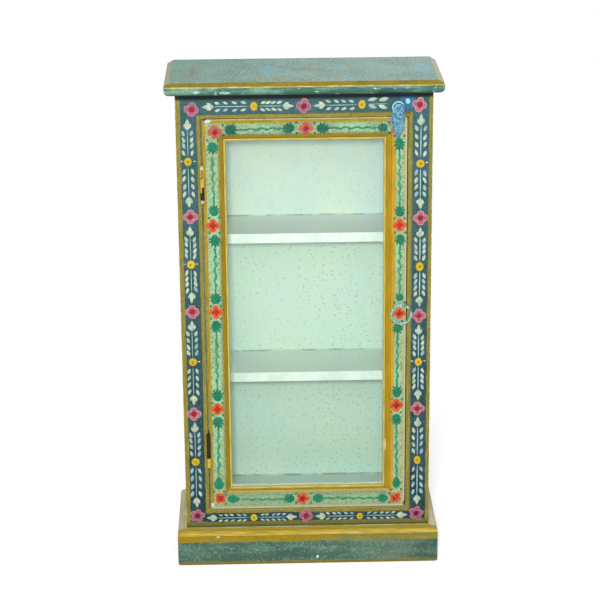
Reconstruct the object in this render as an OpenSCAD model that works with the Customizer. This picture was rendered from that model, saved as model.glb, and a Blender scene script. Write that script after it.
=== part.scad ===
// Glazed display cabinet for thimbles and other small things.
// Painted wooden case with a moulded plinth, two shelves and one mitred glass door.
// Origin at the middle of the foot, +Z up, door towards -Y. All sizes in millimetres.

/* [Case] */
// Overall height
case_h = 600; // [500:1:720]
// Width over the side boards
case_w = 294; // [245:1:360]
// Depth from the front of the face frame to the back
case_d = 120; // [100:1:150]
// Thickness of the side boards
side_t = 15; // [12:0.5:18]
// Thickness of the back panel
back_t = 5; // [3:0.5:8]
// Width of the rebate that holds the back panel
back_rebate = 7; // [4:0.5:9]
// Height of the back panel's lower edge
back_z = 45; // [20:1:50]

/* [Top board] */
// Thickness of the top board
top_t = 15; // [12:0.5:20]
// Overhang past the face frame and the sides
top_over = 12; // [9:0.5:20]
// Width of the sloping gold edge
top_slope_w = 7; // [3:0.5:9]
// Fall of the sloping gold edge
top_slope_h = 4; // [2:0.5:5]
// Radius under the edge
top_round = 7; // [3:0.5:7]

/* [Shelves and floor] */
// Height of the upper shelf's top face
upper_shelf_z = 407; // [380:1:440]
// Height of the lower shelf's top face
lower_shelf_z = 232; // [190:1:280]
// Height of the floor's top face
floor_z = 63.5; // [58:0.5:69]
// Thickness of the shelves
shelf_t = 11.5; // [9:0.5:14]
// Thickness of the floor
floor_t = 12; // [9:0.5:15]
// Distance of the shelves behind the front
shelf_set = 40; // [30:1:60]
// Depth of the housings in the side boards
house_d = 4; // [2:0.5:6]

/* [Face frame] */
// Thickness of the face frame
frame_t = 18; // [14:0.5:22]
// Width of the stiles
stile_w = 28; // [22:0.5:34]
// Width of the top rail
rail_top_w = 28; // [22:0.5:34]
// Width of the bottom rail
rail_bottom_w = 40; // [30:0.5:48]
// Height of the door opening's lower edge
open_z = 69.5; // [62:0.5:80]
// Length of the stub tenons
tenon_l = 14; // [8:0.5:18]
// Thickness of the stub tenons
tenon_t = 6; // [4:0.5:8]
// Shoulder above and below a tenon
shoulder = 6; // [3:0.5:8]

/* [Plinth] */
// Thickness of the plinth boards
plinth_t = 11; // [8:0.5:14]
// Height of the plinth's plain face
plinth_face = 40; // [30:1:46]
// Radius of the rounded moulding on top
plinth_round = 5; // [3:0.5:6]
// Flat between the round and the slope
plinth_flat = 1; // [0.5:0.5:2]
// Rise of the slope above the round
plinth_rise = 2; // [1:0.5:3]
// Radius at the foot
plinth_foot = 5; // [2:0.5:7]

/* [Door] */
// Thickness of the door
door_t = 18; // [15:0.5:22]
// Width of the stiles and rails
member_w = 26.5; // [24:0.5:32]
// Width of the moulded inner edge
mould_w = 9; // [7:0.5:10]
// Step beside the flat face
quirk = 0.8; // [0.4:0.1:1.5]
// Radius of the hollow
cove_r = 9; // [6:0.5:14]
// Radius of the bead at the glass
bead_r = 1.3; // [1:0.1:2]
// Depth of the bead's middle behind the face
bead_in = 5.6; // [4:0.1:6.5]
// Radius of the door's front arris
arris = 1; // [0.5:0.1:2]
// Gap at the hinges
hinge_gap = 1.8; // [1.4:0.1:2.4]
// Gap above the door
door_gap_top = 1; // [0.6:0.1:2]
// Gap below the door
door_gap_bottom = 1.5; // [0.6:0.1:2.5]
// Running clearance at the closing edge
swing_gap = 0.35; // [0.2:0.05:1]

/* [Glass] */
// Thickness of the glass
glass_t = 2; // [2:0.5:4]
// Width of the glass rebate
rebate_w = 6; // [5:0.5:8]
// Depth of the rebate's shoulder behind the face
rebate_in = 9; // [8:0.5:10]
// Clearance round the glass
glass_gap = 0.5; // [0.3:0.1:1]
// Thickness of the glazing beads
glazing_t = 6; // [4:0.5:7]
// Radius of the glazing beads' inner edge
glazing_round = 2; // [1:0.5:3]

/* [Hinges] */
// Length of a hinge
hinge_h = 43.5; // [36:0.5:52]
// Distance of a hinge from the door's end
hinge_inset = 55; // [40:1:70]
// Thickness of a leaf
leaf_t = 1.2; // [1:0.1:1.6]
// Depth that a leaf reaches behind the face
leaf_reach = 13; // [11:0.5:15]
// Outer radius of the knuckles
knuckle_r = 2.3; // [2.1:0.1:2.8]
// Number of knuckles on a hinge
knuckles = 5; // [3:2:7]
// Radius of the pin
pin_r = 1.2; // [1:0.1:1.4]
// Distance of the pin's axis in front of the face
pin_out = 1; // [0.8:0.1:2]
// Radius of the hinge screws' shanks
hinge_screw_r = 1.1; // [0.8:0.1:1.3]
// Length of the hinge screws
hinge_screw_l = 11; // [8:0.5:14]

/* [Turn button] */
// Distance of the pivot in from the opening's side
button_in = 12; // [9:1:40]
// Height of the pivot above the opening
button_up = 11; // [9:0.5:14]
// Radius of the round end
button_r = 7.2; // [5:0.1:8]
// Length from the pivot to the tip
button_l = 36.8; // [26:0.1:38]
// Length of the straight flanks below the pivot
button_flank = 14; // [8:0.5:16]
// Width of the blunt tip
tip_w = 1.7; // [1:0.1:4]
// Thickness of the plate
button_t = 1.6; // [1:0.1:2.5]
// Height of the raised middle
button_rise = 0.8; // [0.4:0.1:1.2]
// Width of the bevel round the raised middle
button_rim = 1.6; // [1:0.1:2.5]
// Thickness of the washer behind the plate
washer_t = 1; // [0.6:0.1:1.5]
// Radius of the washer
washer_r = 4.6; // [4:0.1:6]
// Radius of the pivot screw's shank
pivot_r = 1.5; // [1.2:0.1:2]
// Length of the pivot screw in the wood
pivot_l = 13; // [8:0.5:16]
// Radius of the pivot screw's head
pivot_head = 3.1; // [2.6:0.1:4]
// Width of the slot in the pivot screw's head
pivot_slot = 0.8; // [0.5:0.1:1.2]

/* [Ring pull] */
// Height of the ring's hanging point
ring_z = 330.3; // [280:0.1:380]
// Distance of the ring's middle from the door's closing edge
ring_in = 5.9; // [5:0.1:9]
// Outer diameter of the ring
ring_d = 26; // [20:0.5:32]
// Thickness of the ring's wire
ring_wire = 3; // [2:0.1:3.6]
// Gap at the ring's seam
ring_seam = 0.4; // [0.2:0.1:1]
// Thickness of the split pin's wire
pin_wire = 1.6; // [1.2:0.1:2]
// Play between the ring and the split pin
ring_play = 0.35; // [0.25:0.05:1]
// Length of a bent leg behind the door
leg_l = 7; // [4:0.5:10]

/* [Door stop] */
// Height of the stop's middle
stop_z = 450; // [420:1:500]
// Length of the stop
stop_l = 60; // [30:1:90]
// Thickness of the stop
stop_t = 8; // [5:0.5:12]
// How far the stop laps behind the door
stop_lap = 4; // [2:0.5:5]

/* [Nails] */
// Radius of a case nail
nail_r = 0.8; // [0.6:0.05:1]
// Radius of a case nail's head
nail_head = 1.7; // [1.3:0.1:2.2]
// Length of the top board's nails
top_nail_l = 38; // [30:1:50]
// Length of the shelf nails
shelf_nail_l = 30; // [24:1:40]
// Length of the back panel's nails
back_nail_l = 16; // [12:1:20]
// Length of the plinth's nails
plinth_nail_l = 22; // [16:1:26]
// Length of the mitre nails in the door
mitre_nail_l = 26; // [20:1:34]
// Radius of a glazing pin
glaze_pin_r = 0.5; // [0.4:0.05:0.7]
// Length of a glazing pin
glaze_pin_l = 11; // [8:0.5:14]

/* [Fits] */
// Clearance where a board enters a groove
fit = 0.2; // [0.1:0.05:0.4]
// Radial clearance of screws, nails and hinge pins
bore_fit = 0.05; // [0.02:0.01:0.1]
// Clearance between pieces that move past each other
move_gap = 0.3; // [0.2:0.05:0.5]

/* [Hidden] */
$fn = 48;
cut = 1;
hw = case_w / 2;
in_w = hw - side_t;
open_w = hw - stile_w;
top_z = case_h - top_t;
open_top = top_z - rail_top_w;
rail_foot = open_z - rail_bottom_w;
depth = case_d + top_over;
y_back = depth / 2;
y_face = y_back - case_d;
y_in = y_face + frame_t;
y_panel = y_back - back_t;
y_shelf = y_face + shelf_set;
plinth_w = hw + plinth_t;

// Door outline and its hinge axis
hinge_x = -open_w + hinge_gap / 2;
hinge_y = y_face - pin_out;
reach_w = 2 * open_w - hinge_gap;
swing_rise = ceil(100 * (norm([reach_w, door_t + pin_out]) - reach_w)) / 100;
door_l = -open_w + hinge_gap;
door_r = open_w - swing_gap - swing_rise;
door_b = open_z + door_gap_bottom;
door_u = open_top - door_gap_top;
flat_w = member_w - mould_w;
glass_in = member_w - rebate_w;
sight_w = (door_r - door_l) / 2 - member_w;
hinge_zs = [door_b + hinge_inset + hinge_h / 2, door_u - hinge_inset - hinge_h / 2];
knuckle_l = hinge_h / knuckles;
recess = leaf_t - (hinge_gap - move_gap) / 2;
screw_zs = [-hinge_h / 3, 0, hinge_h / 3];
hinge_head_r = 2 * hinge_screw_r;
pin_head_r = pin_r + 0.5;
pin_head_h = 1;

// Turn button and ring
button_x = open_w - button_in;
button_z = open_top + button_up;
button_y = y_face - washer_t - fit;
ring_r = (ring_d - ring_wire) / 2;
eye_r = ring_wire / 2 + ring_play + pin_wire / 2;
eye_out = eye_r + pin_wire / 2 + fit;
leg_z = pin_wire / 2 + fit / 4;
ring_x = door_r - ring_in;

SEA = "mediumaquamarine";
BLUE = "steelblue";
GREEN = "palegreen";
MINT = "honeydew";
IRON = "dimgray";

// A box between two corners
module span(low, high) {
    translate(low) cube(high - low);
}

// Fasteners point along -Z from a head whose face lies at z = 0
module nail(length, r = nail_r, head = nail_head) {
    translate([0, 0, -length]) cylinder(h = length, r = r);
    translate([0, 0, -r]) cylinder(h = r, r = head);
}

module nail_hole(length, r = nail_r, head = nail_head) {
    translate([0, 0, -length - fit]) cylinder(h = length + fit + cut, r = r + bore_fit);
    translate([0, 0, -r]) cylinder(h = r + cut, r = head + bore_fit);
}

module at_top_nails() {
    for (s = [-1, 1], y = [y_in + 14, y_panel - 16])
        translate([s * (hw - side_t / 2), y, case_h]) children();
}

module at_shelf_nails(s) {
    for (z = [floor_z - floor_t / 2, lower_shelf_z - shelf_t / 2, upper_shelf_z - shelf_t / 2])
        for (y = [y_shelf + 14, y_panel - 16])
            translate([s * hw, y, z]) rotate([0, s * 90, 0]) children();
}

module at_back_nails() {
    x_in = in_w + back_rebate / 2;
    z_step = (top_z - floor_z) / 4;
    board_zs = [floor_z - floor_t / 2, lower_shelf_z - shelf_t / 2, upper_shelf_z - shelf_t / 2];
    for (s = [-1, 1], i = [0 : 3])
        translate([s * x_in, y_back, floor_z + (i + 0.5) * z_step]) rotate([-90, 0, 0]) children();
    for (x = [-in_w / 2, 0, in_w / 2], z = board_zs)
        translate([x, y_back, z]) rotate([-90, 0, 0]) children();
}

module at_plinth_front_nails() {
    for (x = [-hw + side_t / 2, 0, hw - side_t / 2])
        translate([x, y_face - plinth_t, (rail_foot + plinth_face) / 2]) rotate([90, 0, 0]) children();
}

module at_plinth_side_nails(s) {
    for (y = [y_in + 10, y_panel - 12])
        translate([s * (hw + plinth_t), y, plinth_face / 2]) rotate([0, s * 90, 0]) children();
}

module at_mitre_nails() {
    for (x = [door_l + member_w / 3, door_r - member_w / 3]) {
        translate([x, y_face + door_t / 2, door_u]) children();
        translate([x, y_face + door_t / 2, door_b]) rotate([180, 0, 0]) children();
    }
}

// Pins through the glazing beads, one set for each side of the glass
module at_glaze_pins(side) {
    y = y_face + rebate_in + glass_t + glazing_t / 2;
    xm = (door_l + door_r) / 2;
    zm = (door_b + door_u) / 2;
    if (side == "left" || side == "right")
        for (z = [door_b + member_w * 2, zm, door_u - member_w * 2])
            translate([side == "left" ? door_l + member_w : door_r - member_w, y, z])
                rotate([0, side == "left" ? 90 : -90, 0]) children();
    else
        for (x = [xm - sight_w / 2, xm + sight_w / 2])
            translate([x, y, side == "top" ? door_u - member_w : door_b + member_w])
                rotate([side == "top" ? 180 : 0, 0, 0]) children();
}

// Case boards

// What is cut away along a top edge that runs along X, outer edge at y = 0
module top_edge_cut(length) {
    rotate([90, 0, 90]) linear_extrude(length) {
        polygon([[-cut, top_t - top_slope_h - cut * top_slope_h / top_slope_w],
            [top_slope_w + cut, top_t + cut * top_slope_h / top_slope_w], [-cut, top_t + cut]]);
        difference() {
            translate([-cut, -cut]) square(top_round + cut);
            translate([top_round, top_round]) circle(top_round);
            translate([top_round, -cut]) square(top_round + cut);
        }
    }
}

module top_board() {
    w = hw + top_over;
    y0 = y_face - top_over;
    color(SEA) difference() {
        span([-w, y0, top_z], [w, y_back, case_h]);
        translate([-w - cut, y0, top_z]) top_edge_cut(2 * w + 2 * cut);
        for (s = [0, 1]) mirror([s, 0, 0])
            translate([-w, y_back + cut, top_z]) rotate([0, 0, -90]) top_edge_cut(depth + 2 * cut);
        at_top_nails() nail_hole(top_nail_l);
    }
}

// Groove in a side board for a shelf or the floor
module housing(z, t, y0) {
    span([-in_w - house_d, y0, z - t], [-in_w + cut, y_panel + cut, z + fit]);
}

module left_board() {
    difference() {
        span([-hw, y_in, 0], [-in_w, y_back, top_z]);
        span([-in_w - back_rebate, y_panel, -cut], [-in_w + cut, y_back + cut, top_z + cut]);
        housing(floor_z, floor_t, y_in - cut);
        housing(lower_shelf_z, shelf_t, y_shelf);
        housing(upper_shelf_z, shelf_t, y_shelf);
        at_top_nails() nail_hole(top_nail_l);
        at_shelf_nails(-1) nail_hole(shelf_nail_l);
        at_back_nails() nail_hole(back_nail_l);
        at_plinth_side_nails(-1) nail_hole(plinth_nail_l);
    }
}

module left_side() {
    color(SEA) left_board();
}

module right_side() {
    color(SEA) mirror([1, 0, 0]) left_board();
}

module back_panel() {
    w = in_w + back_rebate - fit;
    color(SEA) difference() {
        span([-w, y_panel, back_z], [w, y_back, top_z]);
        at_back_nails() nail_hole(back_nail_l);
    }
}

module inner_board(z, t, y0) {
    w = in_w + house_d - fit;
    difference() {
        span([-w, y0, z - t], [w, y_panel, z]);
        for (s = [-1, 1]) at_shelf_nails(s) nail_hole(shelf_nail_l);
        at_back_nails() nail_hole(back_nail_l);
    }
}

module floor_board() {
    color(MINT) inner_board(floor_z, floor_t, y_in);
}

module upper_shelf() {
    color(MINT) inner_board(upper_shelf_z, shelf_t, y_shelf);
}

module lower_shelf() {
    color(MINT) inner_board(lower_shelf_z, shelf_t, y_shelf);
}

module door_stop() {
    color(MINT) span([door_r - stop_lap, y_face + door_t + move_gap, stop_z - stop_l / 2],
        [in_w, y_face + door_t + move_gap + stop_t, stop_z + stop_l / 2]);
}

// Face frame, with stub tenons on the rails

module tenons(z0, z1, grow) {
    y = y_face + (frame_t - tenon_t) / 2;
    for (s = [0, 1]) mirror([s, 0, 0])
        span([open_w - cut, y, z0 + shoulder], [open_w + tenon_l + grow, y + tenon_t, z1 - shoulder]);
}

module rail(z0, z1) {
    span([-open_w, y_face, z0], [open_w, y_in, z1]);
    tenons(z0, z1, 0);
}

module stile(s) {
    difference() {
        span([min(s * open_w, s * hw), y_face, 0], [max(s * open_w, s * hw), y_in, top_z]);
        tenons(open_top, top_z, fit);
        tenons(rail_foot, open_z, fit);
        at_plinth_front_nails() nail_hole(plinth_nail_l);
    }
}

module frame_rail_top() {
    color(BLUE) difference() {
        rail(open_top, top_z);
        at_pivot() rotate([-90, 0, 0]) cylinder(h = pivot_l + fit, r = pivot_r + bore_fit);
    }
}

module frame_rail_bottom() {
    color(BLUE) difference() {
        rail(rail_foot, open_z);
        at_plinth_front_nails() nail_hole(plinth_nail_l);
    }
}

module frame_stile_left() {
    color(BLUE) difference() {
        stile(-1);
        at_hinges() hinge_seat(-1);
    }
}

module frame_stile_right() {
    color(BLUE) stile(1);
}

// Plinth boards: x runs inwards from the outer face, y is the height

module plinth_section() {
    z1 = plinth_face + plinth_round;
    difference() {
        union() {
            square([plinth_t, plinth_face]);
            translate([plinth_round, plinth_face]) circle(plinth_round);
            translate([plinth_round, plinth_face]) square([plinth_t - plinth_round, plinth_round]);
            polygon([[plinth_round + plinth_flat, z1], [plinth_t, z1], [plinth_t, z1 + plinth_rise]]);
        }
        difference() {
            translate([-cut, -cut]) square(plinth_foot + cut);
            translate([plinth_foot, plinth_foot]) circle(plinth_foot);
        }
    }
}

// A plinth board along X from x = 0, with a mitre at the far end and perhaps at the near one
module plinth_board(length, near) {
    tall = plinth_face + plinth_round + plinth_rise;
    intersection() {
        rotate([90, 0, 90]) linear_extrude(length) plinth_section();
        linear_extrude(tall) polygon([[0, 0], [length, 0], [length - plinth_t, plinth_t], [near, plinth_t]]);
    }
}

module plinth_front() {
    color(SEA) difference() {
        translate([-plinth_w, y_face - plinth_t, 0]) plinth_board(2 * plinth_w, plinth_t);
        at_plinth_front_nails() nail_hole(plinth_nail_l);
    }
}

module plinth_side() {
    difference() {
        translate([-plinth_w, y_back, 0]) rotate([0, 0, -90]) plinth_board(case_d + plinth_t, 0);
        at_plinth_side_nails(-1) nail_hole(plinth_nail_l);
    }
}

module plinth_left() {
    color(SEA) plinth_side();
}

module plinth_right() {
    color(SEA) mirror([1, 0, 0]) plinth_side();
}

module top_nails() {
    color(IRON) at_top_nails() nail(top_nail_l);
}

module shelf_nails() {
    color(IRON) for (s = [-1, 1]) at_shelf_nails(s) nail(shelf_nail_l);
}

module plinth_nails() {
    color(IRON) {
        at_plinth_front_nails() nail(plinth_nail_l);
        for (s = [-1, 1]) at_plinth_side_nails(s) nail(plinth_nail_l);
    }
}

module back_nails() {
    color(IRON) at_back_nails() nail(back_nail_l);
}

// Door: x of a section runs back from the face, y runs in from the outer edge

module door_section() {
    from = [quirk, flat_w];
    to = [bead_in, member_w - 2 * bead_r];
    half = norm(to - from) / 2;
    along = (to - from) / (2 * half);
    centre = (from + to) / 2 + sqrt(cove_r * cove_r - half * half) * [-along.y, along.x];
    difference() {
        union() {
            difference() {
                union() {
                    translate([0, arris]) square([door_t, flat_w - arris]);
                    translate([arris, 0]) square([door_t - arris, flat_w]);
                    translate([arris, arris]) circle(arris);
                    translate([quirk, flat_w - cut]) square([door_t - quirk, to.y - flat_w + cut]);
                    translate([bead_in, to.y - cut]) square([door_t - bead_in, 2 * bead_r + cut]);
                }
                intersection() {
                    translate(centre) circle(cove_r, $fn = 96);
                    translate([-cut, flat_w]) square([door_t, mould_w + cut]);
                }
            }
            translate([bead_in, member_w - bead_r]) circle(bead_r);
        }
        translate([rebate_in, glass_in]) square([door_t, rebate_w + cut]);
    }
}

module glazing_section() {
    difference() {
        square([glazing_t, rebate_w]);
        difference() {
            translate([glazing_t - glazing_round, rebate_w - glazing_round]) square(glazing_round + cut);
            translate([glazing_t - glazing_round, rebate_w - glazing_round]) circle(glazing_round);
        }
    }
}

// A member along X from its corner, mitred at both ends, from the section given
module mitred(length, width, thick) {
    intersection() {
        rotate([90, 0, 90]) linear_extrude(length) children();
        translate([0, thick + cut, -cut]) rotate([90, 0, 0]) linear_extrude(thick + 2 * cut)
            polygon([[-cut, 0], [length + cut, 0], [length - width - cut, width + 2 * cut],
                [width + cut, width + 2 * cut]]);
    }
}

// Puts a mitred member on one side of a frame whose outer edge lies in from the door's edge
module on_side(side, in, y) {
    x0 = door_l + in;
    x1 = door_r - in;
    z0 = door_b + in;
    z1 = door_u - in;
    if (side == "bottom") translate([x0, y, z0]) children();
    if (side == "top") translate([x0, y, z1]) mirror([0, 0, 1]) children();
    if (side == "left") translate([x0, y, z1]) rotate([0, 90, 0]) children();
    if (side == "right") translate([x1, y, z1]) mirror([1, 0, 0]) rotate([0, 90, 0]) children();
}

function side_length(side, in) =
    (side == "top" || side == "bottom" ? door_r - door_l : door_u - door_b) - 2 * in;

module door_member(side) {
    difference() {
        on_side(side, 0, y_face) mitred(side_length(side, 0), member_w, door_t) door_section();
        at_mitre_nails() nail_hole(mitre_nail_l);
        at_glaze_pins(side) nail_hole(glaze_pin_l, glaze_pin_r, 2 * glaze_pin_r);
    }
}

module door_stile_left() {
    color(GREEN) difference() {
        door_member("left");
        at_hinges() hinge_seat(1);
    }
}

module door_stile_right() {
    color(GREEN) difference() {
        door_member("right");
        translate([ring_x, y_face - cut, ring_z]) rotate([-90, 0, 0])
            cylinder(h = door_t + 2 * cut, r = pin_wire + fit);
    }
}

module door_rail_top() {
    color(GREEN) door_member("top");
}

module door_rail_bottom() {
    color(GREEN) door_member("bottom");
}

module mitre_nails() {
    color(IRON) at_mitre_nails() nail(mitre_nail_l);
}

module glass_pane() {
    in = glass_in + glass_gap;
    color("lightcyan", 0.35) span([door_l + in, y_face + rebate_in, door_b + in],
        [door_r - in, y_face + rebate_in + glass_t, door_u - in]);
}

module glazing_bead(side) {
    color(MINT) difference() {
        on_side(side, glass_in, y_face + rebate_in + glass_t)
            mitred(side_length(side, glass_in), rebate_w, glazing_t) glazing_section();
        at_glaze_pins(side) nail_hole(glaze_pin_l, glaze_pin_r, 2 * glaze_pin_r);
    }
}

module glazing_bead_left() {
    glazing_bead("left");
}

module glazing_bead_right() {
    glazing_bead("right");
}

module glazing_bead_top() {
    glazing_bead("top");
}

module glazing_bead_bottom() {
    glazing_bead("bottom");
}

module glazing_pins() {
    color(IRON) for (side = ["left", "right", "top", "bottom"])
        at_glaze_pins(side) nail(glaze_pin_l, glaze_pin_r, 2 * glaze_pin_r);
}

// Hinges: each is drawn about its own pin, s = -1 for the case leaf and 1 for the door leaf

module at_hinges() {
    for (z = hinge_zs) translate([hinge_x, hinge_y, z]) children();
}

module at_hinge_screws(s) {
    for (i = [0 : 2])
        translate([s * move_gap / 2, pin_out + leaf_reach - (i == 1 ? 3.5 : 6.5), screw_zs[i]])
            rotate([0, -s * 90, 0]) children();
}

module hinge_screw() {
    translate([0, 0, -hinge_screw_l]) cylinder(h = hinge_screw_l, r = hinge_screw_r);
    translate([0, 0, -leaf_t]) cylinder(h = leaf_t, r1 = hinge_screw_r, r2 = hinge_head_r);
}

// Where a leaf, its screws and the knuckles sit in the wood
module hinge_seat(s) {
    tall = hinge_h / 2 + pin_head_h + move_gap;
    x0 = s * hinge_gap / 2;
    y0 = pin_out - cut;
    span([min(x0 - s * cut, x0 + s * recess), y0, -hinge_h / 2 - fit],
        [max(x0 - s * cut, x0 + s * recess), pin_out + leaf_reach + fit, hinge_h / 2 + fit]);
    translate([0, 0, -tall]) cylinder(h = 2 * tall, r = knuckle_r + move_gap);
    at_hinge_screws(s) translate([0, 0, -hinge_screw_l - fit])
        cylinder(h = hinge_screw_l + fit, r = hinge_screw_r + bore_fit);
}

module leaf(s) {
    first = s < 0 ? 0 : 1;
    x0 = min(s * move_gap / 2, s * (move_gap / 2 + leaf_t));
    y0 = knuckle_r + move_gap;
    difference() {
        union() {
            span([x0, y0, -hinge_h / 2], [x0 + leaf_t, pin_out + leaf_reach, hinge_h / 2]);
            for (i = [first : 2 : knuckles - 1]) {
                z0 = -hinge_h / 2 + i * knuckle_l + (i == 0 ? 0 : move_gap / 2);
                z1 = -hinge_h / 2 + (i + 1) * knuckle_l - (i == knuckles - 1 ? 0 : move_gap / 2);
                span([x0, 0, z0], [x0 + leaf_t, y0 + cut, z1]);
                translate([0, 0, z0]) cylinder(h = z1 - z0, r = knuckle_r);
            }
        }
        translate([0, 0, -hinge_h / 2 - cut]) cylinder(h = hinge_h + 2 * cut, r = pin_r + bore_fit);
        at_hinge_screws(s) {
            translate([0, 0, -leaf_t - cut])
                cylinder(h = leaf_t + 2 * cut, r = hinge_screw_r + bore_fit);
            translate([0, 0, -leaf_t])
                cylinder(h = leaf_t, r1 = hinge_screw_r + bore_fit, r2 = hinge_head_r + bore_fit);
        }
    }
}

module pin() {
    translate([0, 0, -hinge_h / 2]) cylinder(h = hinge_h, r = pin_r);
    for (s = [0, 1]) mirror([0, 0, s])
        translate([0, 0, hinge_h / 2]) cylinder(h = pin_head_h, r1 = pin_head_r, r2 = pin_r);
}

module on_hinge(i) {
    translate([hinge_x, hinge_y, hinge_zs[i]]) children();
}

module lower_hinge_case_leaf() {
    color(IRON) on_hinge(0) leaf(-1);
}

module lower_hinge_door_leaf() {
    color(IRON) on_hinge(0) leaf(1);
}

module lower_hinge_pin() {
    color(IRON) on_hinge(0) pin();
}

module upper_hinge_case_leaf() {
    color(IRON) on_hinge(1) leaf(-1);
}

module upper_hinge_door_leaf() {
    color(IRON) on_hinge(1) leaf(1);
}

module upper_hinge_pin() {
    color(IRON) on_hinge(1) pin();
}

module hinge_screws_case() {
    color(IRON) at_hinges() at_hinge_screws(-1) hinge_screw();
}

module hinge_screws_door() {
    color(IRON) at_hinges() at_hinge_screws(1) hinge_screw();
}

// Turn button on the top rail

module at_pivot() {
    translate([button_x, y_face, button_z]) children();
}

// Tongue outline drawn in by a margin: a round end, straight flanks and an arched point
module tongue(margin) {
    w = button_r - margin;
    drop = button_r - tip_w / 2;
    arch_r = (pow(button_l - button_flank, 2) + drop * drop) / (2 * drop);
    circle(w);
    translate([-w, -button_flank]) square([2 * w, button_flank]);
    intersection() {
        translate([-w, margin - button_l]) square([2 * w, button_l - button_flank - margin]);
        translate([button_r - arch_r, -button_flank]) circle(arch_r - margin, $fn = 96);
        translate([arch_r - button_r, -button_flank]) circle(arch_r - margin, $fn = 96);
    }
}

module latch_plate() {
    color(BLUE) translate([button_x, button_y, button_z]) rotate([90, 0, 0]) difference() {
        union() {
            linear_extrude(button_t) tongue(0);
            translate([0, 0, button_t]) linear_extrude(button_rise) tongue(button_rim);
        }
        translate([0, 0, -cut]) cylinder(h = button_t + button_rise + 2 * cut, r = pivot_r + fit / 2);
    }
}

module latch_washer() {
    color(IRON) at_pivot() rotate([90, 0, 0]) difference() {
        cylinder(h = washer_t, r = washer_r);
        translate([0, 0, -cut]) cylinder(h = washer_t + 2 * cut, r = pivot_r + bore_fit);
    }
}

module latch_screw() {
    out = washer_t + fit + button_t + button_rise + fit;
    dome_r = (pivot_head * pivot_head + pivot_r * pivot_r) / (2 * pivot_r);
    color(IRON) at_pivot() rotate([90, 0, 0]) {
        translate([0, 0, -pivot_l]) cylinder(h = pivot_l + out, r = pivot_r);
        translate([0, 0, out]) difference() {
            intersection() {
                translate([0, 0, pivot_r - dome_r]) sphere(dome_r);
                cylinder(h = pivot_r, r = pivot_head);
            }
            rotate([0, 0, -35]) translate([-pivot_head, -pivot_slot / 2, pivot_r / 2])
                cube([2 * pivot_head, pivot_slot, pivot_r]);
        }
    }
}

// Ring pull, hanging from a split pin through the door

module ring() {
    open = ring_seam / ring_r * 180 / PI;
    color("powderblue") translate([ring_x, y_face - eye_out, ring_z - ring_r]) rotate([90, 0, 0])
        rotate([0, 0, 180 + open / 2]) rotate_extrude(angle = 360 - open)
            translate([ring_r, 0]) circle(d = ring_wire, $fn = 32);
}

module ring_staple() {
    turn = asin(leg_z / eye_r);
    y_eye = eye_r * cos(turn) - pin_wire / 8;
    y_leg = eye_out + door_t + pin_wire / 2 + bore_fit;
    bend = pin_wire / 2 + fit;
    color(IRON) translate([ring_x, y_face - eye_out, ring_z]) {
        rotate([90, 0, 90]) rotate([0, 0, turn]) rotate_extrude(angle = 360 - 2 * turn)
            translate([eye_r, 0]) circle(d = pin_wire, $fn = 24);
        for (s = [0, 1]) mirror([0, 0, s]) {
            translate([0, y_leg - bend, leg_z]) rotate([90, 0, 0])
                cylinder(h = y_leg - bend - y_eye, d = pin_wire, $fn = 24);
            translate([0, y_leg - bend, leg_z + bend]) rotate([90, 0, 90])
                rotate([0, 0, -90]) rotate_extrude(angle = 90)
                    translate([bend, 0]) circle(d = pin_wire, $fn = 24);
            translate([0, y_leg, leg_z + bend]) cylinder(h = leg_l, d = pin_wire, $fn = 24);
        }
    }
}

top_board();
left_side();
right_side();
back_panel();
floor_board();
upper_shelf();
lower_shelf();
frame_stile_left();
frame_stile_right();
frame_rail_top();
frame_rail_bottom();
plinth_front();
plinth_left();
plinth_right();
door_stop();
top_nails();
shelf_nails();
plinth_nails();
back_nails();
door_stile_left();
door_stile_right();
door_rail_top();
door_rail_bottom();
mitre_nails();
glass_pane();
glazing_bead_left();
glazing_bead_right();
glazing_bead_top();
glazing_bead_bottom();
glazing_pins();
upper_hinge_case_leaf();
upper_hinge_door_leaf();
upper_hinge_pin();
lower_hinge_case_leaf();
lower_hinge_door_leaf();
lower_hinge_pin();
hinge_screws_case();
hinge_screws_door();
latch_plate();
latch_washer();
latch_screw();
ring();
ring_staple();
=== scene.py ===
# Painted display cabinet: finishes, painted flowers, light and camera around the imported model.
import math
import random

import bmesh
import bpy
from mathutils import Matrix, Vector


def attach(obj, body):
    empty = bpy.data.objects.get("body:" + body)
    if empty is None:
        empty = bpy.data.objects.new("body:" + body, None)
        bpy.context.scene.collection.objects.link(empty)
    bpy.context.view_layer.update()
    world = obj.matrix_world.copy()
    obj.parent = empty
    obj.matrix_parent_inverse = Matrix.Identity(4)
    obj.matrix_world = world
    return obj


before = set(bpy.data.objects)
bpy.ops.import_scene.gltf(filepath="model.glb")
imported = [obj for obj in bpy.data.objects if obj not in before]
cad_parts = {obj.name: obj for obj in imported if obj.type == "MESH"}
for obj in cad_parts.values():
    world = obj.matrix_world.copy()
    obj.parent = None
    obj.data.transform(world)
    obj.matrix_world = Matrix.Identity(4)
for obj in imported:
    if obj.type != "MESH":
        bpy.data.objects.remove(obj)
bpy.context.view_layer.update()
random.seed(7)

MM = 0.001
FACE = -54.0  # the painted front plane, in millimetres, as all sizes below
DOOR_LEFT, DOOR_RIGHT, DOOR_LOW, DOOR_HIGH = -117.2, 117.88, 71.0, 556.0
OPEN_X, OPEN_LOW, OPEN_HIGH, CASE_X = 119.0, 69.5, 557.0, 147.0
SKEW, SKEW_FROM = 0.0052, 130  # the right door member's paint leans outwards above this height
FRAME_BACK, SHELF_FRONT, PANEL_FRONT = -36.0, -14.0, 61.0
TOP_FLAT, TOP_EDGE, PLINTH_FACE = 600.0, 596.0, 40.0
SCREW_X, SCREW_Z = 107.0, 568.0  # the turn button's screw


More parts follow.
